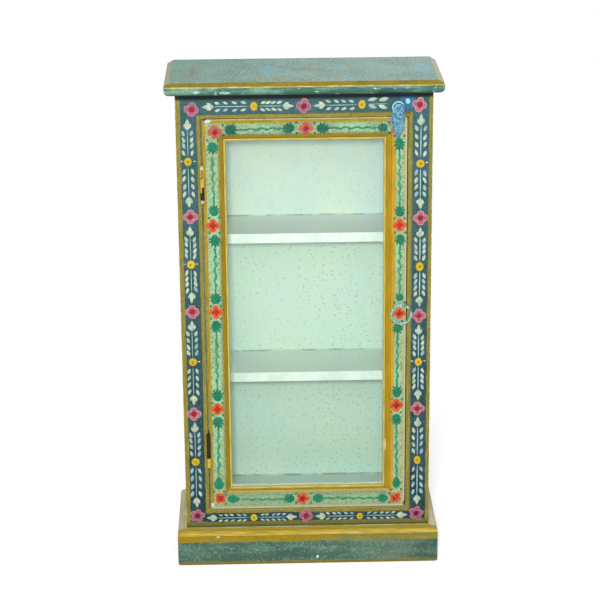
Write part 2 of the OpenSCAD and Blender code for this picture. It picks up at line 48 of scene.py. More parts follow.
# Colours are written as they look, from 0 to 255

def tint(red, green, blue):
    """The linear colour that a shader needs."""

    def linear(value):
        value /= 255
        return value / 12.92 if value <= 0.04045 else ((value + 0.055) / 1.055) ** 2.4

    return (linear(red), linear(green), linear(blue), 1.0)


class Wire:
    """One value in a material; sums and products of wires add their nodes."""

    def __init__(self, tree, socket=None):
        self.tree, self.socket = tree, socket

    def add(self, kind, settings=None, sockets=None, out=0):
        """A new node, with its settings and the values or wires for its sockets; gives one output."""
        node = self.tree.nodes.new(kind)
        for name, value in (settings or {}).items():
            setattr(node, name, value)
        for name, value in (sockets or {}).items():
            if isinstance(value, Wire):
                self.tree.links.new(value.socket, node.inputs[name])
            else:
                node.inputs[name].default_value = value
        return Wire(self.tree, node.outputs[out])

    def maths(self, operation, *values):
        return self.add("ShaderNodeMath", {"operation": operation}, dict(enumerate(values)))

    def __add__(self, other):
        return self.maths("ADD", self, other)

    def __radd__(self, other):
        return self.maths("ADD", other, self)

    def __sub__(self, other):
        return self.maths("SUBTRACT", self, other)

    def __rsub__(self, other):
        return self.maths("SUBTRACT", other, self)

    def __mul__(self, other):
        return self.maths("MULTIPLY", self, other)

    def __rmul__(self, other):
        return self.maths("MULTIPLY", other, self)

    def __abs__(self):
        return self.maths("ABSOLUTE", self)

    def over(self, other):
        """The larger of the two."""
        return self.maths("MAXIMUM", self, other)

    def under(self, other):
        """The smaller of the two."""
        return self.maths("MINIMUM", self, other)

    def rise(self, low, high):
        """0 below low, 1 above high, and a smooth step between."""
        return self.add(
            "ShaderNodeMapRange",
            {"interpolation_type": "SMOOTHSTEP"},
            {"Value": self, "From Min": low, "From Max": high},
        )

    def fall(self, low, high):
        """1 below low, 0 above high, and a smooth step between."""
        return 1 - self.rise(low, high)

    def band(self, low, high, soft):
        """1 between low and high, with soft edges."""
        return self.rise(low - soft, low + soft) * self.fall(high - soft, high + soft)

    def mix(self, first, second):
        """The first colour where this wire is 0, and the second where it is 1."""
        first, second = (tint(*c) if isinstance(c, tuple) else c for c in (first, second))
        return self.add("ShaderNodeMix", {"data_type": "RGBA"}, {0: self, 6: first, 7: second}, out=2)

    def scaled(self, size, stretch, shift):
        """These coordinates with a length of size, in millimetres, as their unit."""
        return self.add(
            "ShaderNodeVectorMath",
            {"operation": "MULTIPLY_ADD"},
            {0: self, 1: [1 / (size * MM * s) for s in stretch], 2: (shift, shift, shift)},
        )

    def noise(self, size, detail=2.0, stretch=(1, 1, 1), shift=0.0):
        """Cloudy variation between about 0.25 and 0.75 over these coordinates, in blotches of that size."""
        sockets = {
            "Vector": self.scaled(size, stretch, shift), "Scale": 1.0, "Detail": detail, "Roughness": 0.55
        }
        return self.add("ShaderNodeTexNoise", {}, sockets)

    def cracks(self, size, shift=0.0):
        """Distance from the nearest crack of a crackled coat, in cell widths."""
        sockets = {"Vector": self.scaled(size, (1, 1, 1), shift), "Scale": 1.0}
        return self.add("ShaderNodeTexVoronoi", {"feature": "DISTANCE_TO_EDGE"}, sockets)

    def parts(self):
        """These coordinates' x, y and z in millimetres."""
        return [self.add("ShaderNodeSeparateXYZ", {}, {0: self}, out=i) * (1 / MM) for i in range(3)]


def blot(place, x, z, middle, size, seed):
    """A ragged worn patch around its middle, given with its width and height."""
    dx, dz = (x - middle[0]) * (2 / size[0]), (z - middle[1]) * (2 / size[1])
    ragged = (place.noise(2.6, 2, shift=seed) - 0.5) * 1.8
    return (dx * dx + dz * dz + ragged).fall(0.55, 1.15)


def marked(place, x, z, colour, marks):
    """The colour with worn places; each mark has its middle, size, seed, share and own colour."""
    for middle, size, seed, share, worn in marks:
        colour = (blot(place, x, z, middle, size, seed) * share).mix(colour, worn)
    return colour


def finish(name, coat):
    """A material whose shader the function coat makes from the object's own coordinates."""
    material = bpy.data.materials.new(name)
    material.use_nodes = True
    tree = material.node_tree
    tree.nodes.clear()
    shader = coat(Wire(tree).add("ShaderNodeTexCoord", out=3))
    end = tree.nodes.new("ShaderNodeOutputMaterial")
    tree.links.new(shader.socket, end.inputs["Surface"])
    return material


def painted(colour, height, rough=0.6, depth=0.12, strength=0.5, shine=0.15, metal=0.0):
    """Paint or metal: its colour, and relief of a depth in millimetres from a height between 0 and 1."""
    bump = colour.add("ShaderNodeBump", {}, {"Strength": strength, "Distance": depth * MM, "Height": height})
    sockets = {
        "Base Color": colour, "Roughness": rough, "Metallic": metal, "Specular IOR Level": shine,
        "Normal": bump,
    }
    return colour.add("ShaderNodeBsdfPrincipled", {}, sockets)


ALONG_X, ALONG_Z = (14, 1, 1), (1, 1, 14)


def gold(place, along, dark=(118, 110, 42), bright=(155, 143, 62)):
    """Ochre gold, brushed along a member, olive and brown in places and finely crackled."""
    streak = place.noise(1.3, 3, along).rise(0.34, 0.66)
    patch = place.noise(24, 3, shift=3.1)
    grit = place.noise(1.9, 2, shift=9.9)
    colour = (streak * 0.6 + grit * 0.4).mix(dark, bright)
    colour = (patch.fall(0.34, 0.48) * 0.55).mix(colour, (128, 122, 48))
    colour = (patch.rise(0.6, 0.68) * 0.3).mix(colour, (184, 142, 46))
    crackle = place.cracks(3.0, 6.2).fall(0.0, 0.12)
    return (crackle * 0.3 + grit.fall(0.34, 0.44) * 0.25).mix(colour, (92, 78, 34)), streak


def blue_ground(place, z):
    """The frame's slate blue and teal coat, darker towards the foot, mottled and speckled."""
    cloud = place.noise(24, 3, shift=1.7).rise(0.36, 0.64)
    upper = cloud.mix((50, 88, 82), (58, 92, 104))
    lower = cloud.mix((30, 54, 64), (44, 72, 74))
    colour = z.rise(60, 560).mix(lower, upper)
    fleck = place.noise(2.0, 3, shift=5.3)
    colour = (fleck.rise(0.56, 0.68) * 0.5).mix(colour, (82, 126, 134))
    return (fleck.fall(0.32, 0.44) * 0.7).mix(colour, (34, 62, 66)), fleck


def sea_ground(place, low, high, speckle=0.6):
    """The sea green coat of the top, the sides and the plinth, speckled light and dark."""
    cloud = place.noise(22, 4, (2, 2, 1), shift=2.2).rise(0.36, 0.64)
    colour = cloud.mix(low, high)
    fleck = place.noise(2.0, 3, shift=8.1)
    colour = (fleck.rise(0.54, 0.66) * speckle).mix(colour, (160, 206, 194))
    return (fleck.fall(0.34, 0.46) * 0.65).mix(colour, (58, 88, 76)), fleck


def side_coat(place):
    """The sides' sea green, rubbed beige in places."""
    colour, fleck = sea_ground(place, (88, 132, 122), (126, 162, 146))
    rub = place.noise(55, 3, (1, 1, 3), shift=6.0).rise(0.56, 0.68)
    return (rub * 0.6).mix(colour, (172, 172, 132)), fleck


# Worn places: middle, size, seed, share and colour
FRAME_MARKS = (
    ((118, 574.5), (6, 7), 2.5, 0.8, (168, 220, 226)),
    ((118.5, 560.5), (6, 4), 3.5, 0.8, (112, 84, 24)),
    ((136.3, 479), (3, 4), 4.5, 0.8, (26, 40, 40)),
)
LINE_LEFT, LINE_RIGHT = 5.2, 4.2  # widths of the gold line at the case's outer edges


def frame_coat(along):
    """The face frame: blue, with wavering gold lines along the opening, the outer edges and the foot."""

    def coat(place):
        x, y, z = place.parts()
        wobble = (place.noise(16, 2, shift=4.4) - 0.5) * 3 + (place.noise(2.2, 1) - 0.5) * 0.9
        opening = (abs(x) - OPEN_X).over(z - OPEN_HIGH).over(OPEN_LOW - z)
        right = x.rise(-1, 1)
        edge = (CASE_X - abs(x)) - (LINE_LEFT + right * (LINE_RIGHT - LINE_LEFT))
        lines = (opening + wobble * 0.8 - right * 0.9).fall(3.9, 4.6)
        lines = lines.over((edge + wobble).fall(-0.4, 0.4)).over((z + wobble).fall(53.2, 54.4))
        ground, fleck = blue_ground(place, z)
        ground = (blot(place, x, z, (117, 574), (20, 20), 1.5) * 0.7).mix(ground, (52, 112, 160))
        metal, streak = gold(place, along)
        metal = (z.fall(52, 56) * 0.6).mix(metal, (92, 92, 44))
        colour = marked(place, x, z, lines.mix(ground, metal), FRAME_MARKS)
        colour = ((opening + wobble).band(4.3, 4.9, 0.35) * 0.7).mix(colour, (46, 62, 46))
        # Painted shadow under the top board, and darker just above the plinth
        front = y.fall(FACE + 0.02, FACE + 0.08)
        colour = (z.rise(576.8, 580.6) * front * 0.95).mix(colour, (10, 16, 16))
        colour = (z.fall(47.5, 51.5) * 0.6).mix(colour, (50, 54, 34))
        # Worn arrises
        chips = place.noise(3.2, 3, shift=9.4)
        arris = (CASE_X - abs(x)).fall(0.2, 1.0) * chips.rise(0.5, 0.6)
        arris = arris.over(opening.fall(0.1, 0.7) * chips.rise(0.55, 0.62))
        colour = (arris * 0.75).mix(colour, (204, 190, 140))
        # Faces behind the front; the frame's edges round the opening are pale beige, painted light that lifts
        # the shade in the gap round the door
        flank, _ = side_coat(place)
        inside, _ = mint_ground(place)
        rest = abs(x).rise(CASE_X - 0.05, CASE_X - 0.01).mix((190, 184, 142), flank)
        rest = y.rise(FRAME_BACK - 0.3, FRAME_BACK - 0.1).mix(rest, inside)
        return painted(front.mix(rest, colour), fleck * 0.5 + streak * lines * 0.4 - arris * 0.5)

    return coat


def mint_ground(place):
    """The pale mint inside, cooler and warmer in places, with small dark pits."""
    cloud = place.noise(70, 3, shift=1.1).rise(0.35, 0.65)
    colour = cloud.mix((208, 226, 216), (216, 230, 212))
    cool = place.noise(55, 2, (1, 1, 2.2), shift=14.6).rise(0.44, 0.6)
    colour = (cool * 0.45).mix(colour, (198, 222, 222))
    stain = place.noise(17, 4, shift=7.7).rise(0.57, 0.72)
    colour = (stain * 0.25).mix(colour, (190, 206, 180))
    x, y, z = place.parts()
    crowd = place.noise(26, 2, shift=5.8).rise(0.4, 0.6) * (x.band(8, 80, 14) * 0.7 + 0.3)
    crowd = crowd + z.fall(200, 240) * 0.3 - z.rise(395, 410) * 0.25
    flat = place.add("ShaderNodeCombineXYZ", {}, {0: x * 0.16, 1: (z + y * 1.3) * 0.16})
    dots = place.add("ShaderNodeTexVoronoi", {"voronoi_dimensions": "2D"}, {"Vector": flat, "Scale": 1.0})
    pits = dots.fall(0.12, 0.24) * (place.noise(4, 2, shift=3.9) + crowd * 0.1).rise(0.54, 0.6)
    few = 1 - z.rise(395, 410) * 0.7 - z.fall(225, 240) * 0.3
    return (pits * few * 0.8).mix(colour, (112, 134, 118)), cloud * 0.5 - pits * 0.6


def inside_coat(place):
    """Shelves and floor: mint, with painted light and shade: paler tops, a darker lower shelf top and floor,
    and bright brushed front edges with a painted shadow at their left ends.
    """
    x, y, z = place.parts()
    colour, relief = mint_ground(place)
    brush = place.noise(1.3, 2, (16, 1, 16), shift=2.9)
    # Painted light and shade: tops paler, the lower shelf's top and the floor board darker
    facing = place.add("ShaderNodeTexCoord", out=1)
    level = place.add("ShaderNodeSeparateXYZ", {}, {0: facing}, out=2).rise(0.6, 0.9)
    colour = (level * 0.5).mix(colour, (244, 248, 246))
    colour = (level * z.fall(260, 330) * z.rise(100, 200) * 0.3).mix(colour, (186, 208, 194))
    colour = (z.fall(64, 66) * 0.5).mix(colour, (150, 176, 164))
    # Painted light: the front edges brushed near white, with a painted shadow of the door's left member at
    # their left ends
    front = y.fall(SHELF_FRONT + 0.1, SHELF_FRONT + 0.3)
    edge = brush.rise(0.35, 0.6).mix((222, 234, 225), (238, 246, 240))
    colour = (front * 0.9).mix(colour, edge)
    colour = (front * x.fall(-87.2, -86.4) * 0.6).mix(colour, (176, 184, 168))
    return painted(colour, relief + brush * 0.4, shine=0.25)


def back_coat(place):
    """Mint inside, with painted shade in the lower bays, along the shelves and floor where they meet the back
    and under the shelves, and bare board outside.
    """
    _, y, z = place.parts()
    mint, relief = mint_ground(place)
    # Lower bay greener and darker, partly the paint's tone and partly painted shade; the middle bay a little
    # darker, painted shade
    mint = (z.fall(200, 236) * 0.4).mix(mint, (190, 226, 204))
    mint = (z.band(232, 400, 4) * 0.5).mix(mint, (200, 226, 208))
    # Painted shade where the shelves and floor meet the back, and just under each shelf
    broken = place.noise(7, 3, (3, 1, 1), shift=2.7).rise(0.42, 0.58)
    corner_shade = z.band(406.6, 408.7, 0.3).over(z.band(231.6, 233.9, 0.3)).over(z.band(63.2, 66.0, 0.3))
    under = z.band(394.4, 395.9, 0.3).over(z.band(219.4, 220.9, 0.3))
    mint = (corner_shade * (broken * 0.5 + 0.25) + under * 0.4).mix(mint, (112, 132, 116))
    grain = place.noise(1.7, 4, (1, 1, 70), shift=4.0)
    ring = place.noise(14, 3, (1, 1, 26), shift=8.8)
    wood = grain.rise(0.3, 0.7).mix((132, 106, 74), (170, 142, 104))
    wood = (ring.rise(0.5, 0.66) * 0.45).mix(wood, (112, 88, 60))
    bare = y.rise(PANEL_FRONT + 0.5, PANEL_FRONT + 1.5)
    return painted(bare.mix(mint, wood), relief * (1 - bare) + grain * bare, rough=0.68, shine=0.2)


def bead_coat(place):
    wear = place.noise(6, 3, shift=6.6).rise(0.56, 0.68)
    return painted((wear * 0.6).mix((232, 238, 234), (198, 208, 184)), place.noise(1.4, 2), rough=0.55)


DOOR_MARKS = (
    ((-110.6, 553.6), (8, 3.6), -110.6, 0.85, (196, 218, 224)),
    ((-114.2, 555.6), (5, 3), -114.2, 0.85, (40, 48, 40)),
    ((96.7, 552.0), (9, 7), 96.7, 0.85, (132, 132, 108)),
    ((101.5, 375.0), (5, 11), 101.5, 0.85, (190, 138, 44)),
    ((-115.0, 76.5), (5, 6), -115.0, 0.85, (206, 214, 200)),
    ((117.4, 75.0), (3.5, 6), 117.4, 0.85, (40, 44, 34)),
    ((94.0, 150.0), (2.4, 16), 94.0, 0.85, (206, 204, 150)),
)


def door_coat(side, along, gold_from, line=4.0):
    """One door member: worn arris, gold line, green stippled ground, gold moulding and bright bead."""

    def coat(place):
        x, y, z = place.parts()
        depth = {
            "left": x - DOOR_LEFT, "right": DOOR_RIGHT - x, "low": z - DOOR_LOW, "high": DOOR_HIGH - z
        }[side]
        wobble = (place.noise(15, 2, shift=2.6) - 0.5) * 2.6 + (place.noise(2.0, 1) - 0.5) * 0.8
        stipple = place.noise(1.9, 3, shift=1.9)
        cloud = place.noise(30, 3, shift=5.1)
        ground = stipple.rise(0.4, 0.6).mix((128, 152, 110), (172, 192, 148))
        if side == "high":
            ground = stipple.rise(0.36, 0.6).mix((104, 128, 92), (156, 172, 130))
        middle = depth.band(6.5, 15.0, 2.2)
        ground = (middle * cloud.rise(0.44, 0.62) * 0.7).mix(ground, (152, 202, 156))
        smear = depth.band(8.0, 13.0, 1.6) * place.noise(5, 3, shift=6.7).rise(0.4, 0.66)
        ground = (smear * 0.5).mix(ground, (112, 178, 142))
        ground = (stipple.rise(0.54, 0.64) * cloud.fall(0.4, 0.6) * 0.6).mix(ground, (170, 160, 122))
        ground = (stipple.fall(0.3, 0.42) * 0.6).mix(ground, (86, 118, 84))
        if side == "low":
            # Duller all over
            dull = {0: 0.45, 6: ground, 7: tint(126, 146, 110)}
            ground = place.add("ShaderNodeMix", {"data_type": "RGBA"}, dull, out=2)
        crackle = place.cracks(2.6, 3.3).fall(0.0, 0.09)
        ground = (crackle * 0.25).mix(ground, (108, 138, 96))
        metal, streak = gold(place, along, (144, 119, 16), (178, 150, 34))
        if side == "right":
            metal = (streak * 0.5 + 0.3).mix(metal, (188, 148, 30))
        # The right member's moulding runs a little aslant
        skew = (z - SKEW_FROM) * {"right": SKEW}.get(side, 0)
        moulding = (depth + wobble + skew).rise(gold_from - 0.4, gold_from + 0.4)
        outer = (depth + wobble * 0.7).fall(line - 0.5, line + 0.5)
        if side in ("right", "low"):
            metal = (outer * 0.65).mix(metal, (172, 170, 124))
        colour = moulding.over(outer).mix(ground, metal)
        if side == "right":
            warm = place.noise(13, 3, (1, 1, 3), shift=18.5).rise(0.42, 0.62)
            colour = (moulding * warm * 0.45).mix(colour, (202, 158, 40))
        # Painted shade in the hollow, a painted highlight along the bottom rail's moulding, the bead at the
        # glass painted bright as a highlight, and painted shade in the quirk in front of it
        colour = (depth.band(20.0, 24.2, 1.6) * 0.4).mix(colour, (132, 100, 22))
        if side == "low":
            colour = (depth.band(19.9, 21.4, 0.3) * 0.6).mix(colour, (196, 180, 100))
        colour = depth.rise(23.9, 24.5).mix(colour, streak.mix((174, 160, 62), (200, 188, 96)))
        colour = (depth.band(23.5, 24.0, 0.2) * 0.5).mix(colour, (94, 76, 22))
        # Worn front arris and dark mitres
        chips = place.noise(5, 3, shift=9.1)
        wear = {"left": 0.58, "right": 0.3, "low": 0.34, "high": 0.34}[side]
        wide = {"right": 2.3, "low": 2.9}.get(side, 1.5)
        arris = depth.fall(wide - 0.8, wide) * chips.rise(wear, wear + 0.08)
        colour = (arris * 0.8).mix(colour, (178, 186, 156))
        across = (x - DOOR_LEFT).under(DOOR_RIGHT - x)
        up = (z - DOOR_LOW).under(DOOR_HIGH - z)
        mitre = abs(across - up)
        crack = mitre.fall(0.25, 0.6)
        chip = mitre.fall(0.5, 1.6) * chips.rise(0.52, 0.6)
        colour = (chip * 0.7).mix(colour, (214, 200, 150))
        colour = (crack * 0.6).mix(colour, (84, 66, 40))
        colour = marked(place, x, z, colour, DOOR_MARKS)
        # Back and edges
        inside, _ = mint_ground(place)
        inside = (y.rise(-60, -50) * 0.6).mix(inside, (176, 198, 184))
        colour = y.rise(-37.2, -36.8).mix(colour, inside)
        edge = depth.fall(0.02, 0.06) * y.rise(FACE + 1.2, FACE + 2.0)
        colour = edge.mix(colour, metal)
        relief = stipple * 0.6 * (1 - moulding) + streak * 0.5 - crackle * 0.4 - crack - arris * 0.4
        return painted(colour, relief, rough=0.56)

    return coat


def top_coat(place):
    """Top board: mottled top with a faint painted border, gold slope, bright arris line, teal round edge with
    painted shade towards its underside.
    """
    x, y, z = place.parts()
    ground, fleck = sea_ground(place, (132, 180, 160), (156, 204, 182))
    grit = place.noise(3.0, 3, (1, 2.4, 1), shift=17.0)
    ground = (grit.rise(0.54, 0.64) * 0.55).mix(ground, (180, 216, 206))
    ground = (grit.fall(0.36, 0.46) * 0.6).mix(ground, (112, 142, 128))
    ground = (x.fall(-130, -50) * 0.35).mix(ground, (172, 214, 202))
    # Faint old pattern on the flat
    cloudy = place.noise(17, 3, shift=12.4)
    ground = (cloudy.rise(0.54, 0.66) * 0.6).mix(ground, (130, 200, 214))
    ground = (cloudy.fall(0.34, 0.44) * 0.4).mix(ground, (176, 166, 124))
    aqua = blot(place, x, y, (-40, 4), (28, 44), 0.5).over(blot(place, x, y, (138, 6), (24, 60), 4.5))
    ground = (aqua * 0.6).mix(ground, (128, 206, 222))
    rust = place.noise(9, 3, shift=15.2).rise(0.58, 0.68)
    for middle, size, seed in (((-128, 0), (7, 70), 1.0), ((4, 4), (44, 14), 2.0)):
        rust = rust.over(blot(place, x, y, middle, size, seed))
    ground = (rust * fleck.rise(0.36, 0.56) * 0.6).mix(ground, (178, 122, 110))
    old_line = (abs(x) - 122).over(abs(y + 2) - 42).band(-1.6, 1.6, 0.8)
    ground = (old_line * fleck.rise(0.4, 0.56) * 0.35).mix(ground, (170, 156, 120))
    ground = (place.noise(2.8, 2, shift=4.9).rise(0.62, 0.68) * 0.6).mix(ground, (196, 226, 220))
    metal, streak = gold(place, (5, 5, 1), (148, 125, 42), (180, 153, 62))
    # The slope between the flat and the edge; its ends are pale
    slope = z.fall(TOP_FLAT - 0.3, TOP_FLAT - 0.1) * z.rise(TOP_EDGE - 0.1, TOP_EDGE + 0.1)
    ends = (abs(x) - 152.0).rise(-0.5, 0.5) * (0 - y).fall(58.5, 59.5)
    colour = slope.mix(ground, ends.mix(metal, (218, 226, 186)))
    lip = z.band(595.0, 596.3, 0.25)
    broken = place.noise(5, 3, (3, 1, 1), shift=21.0).rise(0.46, 0.58)
    colour = lip.mix(colour, (broken * 0.7).mix((176, 152, 66), (212, 206, 150)))
    teal = place.noise(9, 3, (4, 1, 1), shift=3.0).rise(0.4, 0.62).mix((64, 108, 94), (120, 160, 136))
    # Painted shade: the round edge darker towards its underside
    teal = (z.fall(585.4, 590.5) * 0.7).mix(teal, (50, 80, 72))
    chips = place.noise(6, 3, (2, 1, 1), shift=1.0).rise(0.64, 0.68)
    teal = (chips * 0.8).mix(teal, (214, 230, 210))
    bare = blot(place, x, z, (-122, 590), (8, 4), 1.2).over(blot(place, x, z, (-90, 589), (13, 3.6), 2.2))
    teal = (bare * 0.75).mix(teal, (188, 216, 208))
    teal = (fleck.fall(0.36, 0.5) * 0.5).mix(teal, (48, 80, 70))
    teal = (blot(place, x, z, (104, 589), (44, 9), 3.2) * 0.6).mix(teal, (26, 66, 78))
    colour = z.fall(594.6, 595.2).mix(colour, teal)
    return painted(colour, fleck * 0.6 + streak * slope * 0.4, rough=0.55, depth=0.16)


PLINTH_MARKS = (
    ((-109, 38.5), (5, 2.8), 6.0, 0.6, (214, 214, 204)),
    ((11.6, 10.5), (3.4, 4.2), 8.0, 0.9, (206, 228, 226)),
)


def plinth_coat(place):
    """Plinth: gold foot line, crackled sea green, gold band and bright round moulding."""
    x, y, z = place.parts()
    wobble = (place.noise(18, 2, shift=5.5) - 0.5) * 3 + (place.noise(2, 1) - 0.5)
    ground, fleck = sea_ground(place, (66, 96, 80), (92, 126, 106), 0.35)
    crackle = place.cracks(2.6, 1.3).fall(0.0, 0.14)
    ground = (crackle * 0.35).mix(ground, (48, 76, 66))
    drag = place.noise(9, 3, (7, 1, 1), shift=13.0)
    ground = (drag.fall(0.36, 0.5) * 0.55).mix(ground, (66, 88, 76))
    ground = (drag.rise(0.58, 0.68) * 0.4).mix(ground, (108, 150, 138))
    ground = (x.rise(10, 120) * drag.rise(0.42, 0.56) * 0.35).mix(ground, (118, 122, 98))
    metal, streak = gold(place, ALONG_X, (140, 118, 20), (172, 146, 34))
    green = x.rise(-10, 60) * z.fall(39, 40) * (0.3 + z.rise(35.5, 37) * 0.35)
    metal = green.mix(metal, (104, 122, 82))
    foot = (z + wobble).fall(5.0, 6.0)
    metal = (foot * 0.5).mix(metal, (118, 100, 46))
    lines = foot.over((z + wobble).rise(30.9, 31.9))
    colour = lines.mix(ground, metal)
    bright = streak.mix((176, 148, 40), (208, 180, 72))
    brushed = place.noise(1.1, 3, (34, 1, 1), shift=19.0)
    bright = (brushed.rise(0.54, 0.64) * 0.6).mix(bright, (226, 204, 118))
    bright = (brushed.fall(0.36, 0.48) * 0.6).mix(bright, (150, 120, 44))
    above = z.rise(PLINTH_FACE - 0.4, PLINTH_FACE + 0.4)
    colour = (above * 0.85).mix(colour, bright)
    colour = (z.rise(44.8, 45.4) * 0.7).mix(colour, (160, 140, 56))
    colour = (z.band(39.4, 40.0, 0.25) * 0.35).mix(colour, (110, 84, 28))
    chips = place.noise(7, 3, (3, 1, 1), shift=2.4)
    pale = (y - FACE).rise(-2.0, -1.0) * above * (chips.rise(0.34, 0.56) * 0.2 + 0.75)
    dry = place.noise(1.6, 3, (1, 18, 1), shift=23.0).rise(0.36, 0.64).mix((208, 200, 146), (238, 232, 194))
    sage = chips.rise(0.4, 0.6).mix((160, 158, 104), (182, 190, 152))
    colour = pale.mix(colour, (abs(x) - CASE_X).rise(0, 1).mix(sage, dry))
    colour = marked(place, x, z, colour, PLINTH_MARKS)
    # The side boards are painted beige above their gold
    side = (abs(x) - 157.4).rise(-0.1, 0.1) * y.rise(-64.0, -62.0)
    beige = place.noise(20, 3, shift=7.2).rise(0.4, 0.6).mix((150, 150, 116), (176, 170, 128))
    colour = (side * z.rise(31.0, 32.0) * 0.8).mix(colour, beige)
    worn = place.noise(4, 3, shift=11.0).rise(0.72, 0.75)
    colour = (worn * 0.5).mix(colour, (216, 214, 180))
    return painted(colour, fleck * 0.6 - crackle * 0.5 + streak * lines * 0.3, rough=0.5, depth=0.16)


def side_wood(place):
    """Side boards: sea green with gold edges outside, and mint inside."""
    x, y, _ = place.parts()
    colour, fleck = side_coat(place)
    inside, _ = mint_ground(place)
    within = 1 - abs(x).rise(132.2, 132.6)
    metal, _ = gold(place, ALONG_Z)
    line = (y - FRAME_BACK).fall(5.0, 6.0).over((y - 60).rise(0.0, 1.0)) * (1 - within)
    colour = line.mix(colour, metal)
    colour = within.mix(colour, inside)
    return painted(colour, fleck * 0.6, rough=0.55, depth=0.16)


def hinge_coat(place):
    """Dark iron, with the door's gold brushed over some of the knuckles."""
    x, y, z = place.parts()
    grit = place.noise(1.6, 3, shift=2.0)
    iron = grit.rise(0.4, 0.62).mix((26, 30, 26), (58, 62, 50))
    rust = place.noise(4, 2, shift=4.2).rise(0.6, 0.7)
    iron = (rust * 0.5).mix(iron, (98, 84, 50))
    brushed = z.band(126.2, 138.3, 0.2).over(z.band(476.5, 487.0, 0.4))
    brushed = brushed.over(z.band(487, 499, 1) * x.rise(-117.6, -117.2))
    outside = y.fall(-52.6, -52.2)
    thin = z.band(488, 500, 0.5).over(z.band(470.2, 476.5, 0.3)) * (1 - x.rise(-118.7, -118.3))
    over_iron = brushed.over(thin) * outside
    yellow = grit.rise(0.35, 0.6).mix((184, 154, 46), (208, 178, 60))
    chip = z.rise(497.2, 498.0).over(z.fall(460.4, 461.4)) * z.rise(400, 410)
    colour = over_iron.mix(iron, yellow)
    colour = (chip * 0.8).mix(colour, (206, 216, 206))
    return painted(colour, grit, rough=0.5, depth=0.1, shine=0.5, metal=(1 - over_iron) * 0.6)


def latch_coat(place):
    """Blue brushed paint on the turn button, with painted highlights and painted shade in arcs round its
    screw and along its lower tier.
    """
    x, y, z = place.parts()
    dab = place.noise(2.2, 3, shift=3.6)
    colour = dab.rise(0.38, 0.6).mix((44, 98, 128), (94, 160, 176))
    violet = place.noise(4.5, 2, shift=8.0).rise(0.54, 0.64)
    colour = (violet * 0.35).mix(colour, (78, 108, 180))
    light = place.noise(1.8, 2, shift=6.1).rise(0.56, 0.64)
    colour = (light * 0.7).mix(colour, (158, 212, 228))
    dark = place.noise(2.6, 2, shift=1.2).fall(0.34, 0.44)
    colour = (dark * 0.65).mix(colour, (34, 62, 112))
    dx, dz = x - SCREW_X, z - SCREW_Z
    reach = place.maths("SQRT", dx * dx + dz * dz)
    lit_upper_left = (dz * 0.9 - dx * 0.5).rise(-0.5, 1.5)
    # Painted shade in the screw's hollow above it, painted highlights on the screw head and the outer rim at
    # the upper left
    colour = (reach.band(4.1, 5.2, 0.3) * dz.rise(-1, 1) * 0.8).mix(colour, (30, 58, 130))
    colour = (reach.band(2.5, 3.5, 0.3) * lit_upper_left * 0.7).mix(colour, (150, 214, 226))
    colour = (reach.band(5.9, 6.9, 0.3) * lit_upper_left * 0.85).mix(colour, (206, 218, 190))
    # Painted shade on the lower tier's edge, except at the lit rim
    side = (y + 57.0).rise(-0.1, 0.3) * (1 - reach.band(5.4, 7.4, 0.2) * lit_upper_left)
    colour = (side * 0.5).mix(colour, (36, 78, 116))
    return painted(colour, dab, rough=0.42, depth=0.2, strength=0.6, shine=0.5)


def ring_coat(deep, light):
    """Thick dabbed paint on round wire, worn to the dark metal in places."""

    def coat(place):
        dab = place.noise(2.6, 3, shift=5.6)
        colour = dab.rise(0.36, 0.62).mix(deep, light)
        worn = place.noise(3.4, 3, shift=2.8).rise(0.55, 0.63)
        colour = (worn * 0.7).mix(colour, (72, 84, 80))
        return painted(colour, dab, rough=0.4, depth=0.1, strength=0.4, shine=0.5)

    return coat


def steel_coat(place):
    grit = place.noise(0.8, 2)
    colour = grit.rise(0.4, 0.6).mix((96, 92, 86), (140, 136, 128))
    return place.add(
        "ShaderNodeBsdfPrincipled", {}, {"Base Color": colour, "Roughness": 0.45, "Metallic": 0.9}
    )


def glass_coat(place):
    """Clear old pane: nearly all light passes, and a little is mirrored at grazing angles."""
    smear = place.noise(40, 3, shift=1.4)
    clear = place.add("ShaderNodeBsdfTransparent", {}, {"Color": (0.965, 0.985, 0.97, 1)})
    sheen = {"Color": (1, 1, 1, 1), "Roughness": smear.rise(0.3, 0.7) * 0.05}
    gloss = place.add("ShaderNodeBsdfAnisotropic", {}, sheen)
    facing = place.add("ShaderNodeFresnel", {}, {"IOR": 1.45})
    return place.add("ShaderNodeMixShader", {}, {0: facing * 0.6, 1: clear, 2: gloss})


# Finishes on the CAD pieces

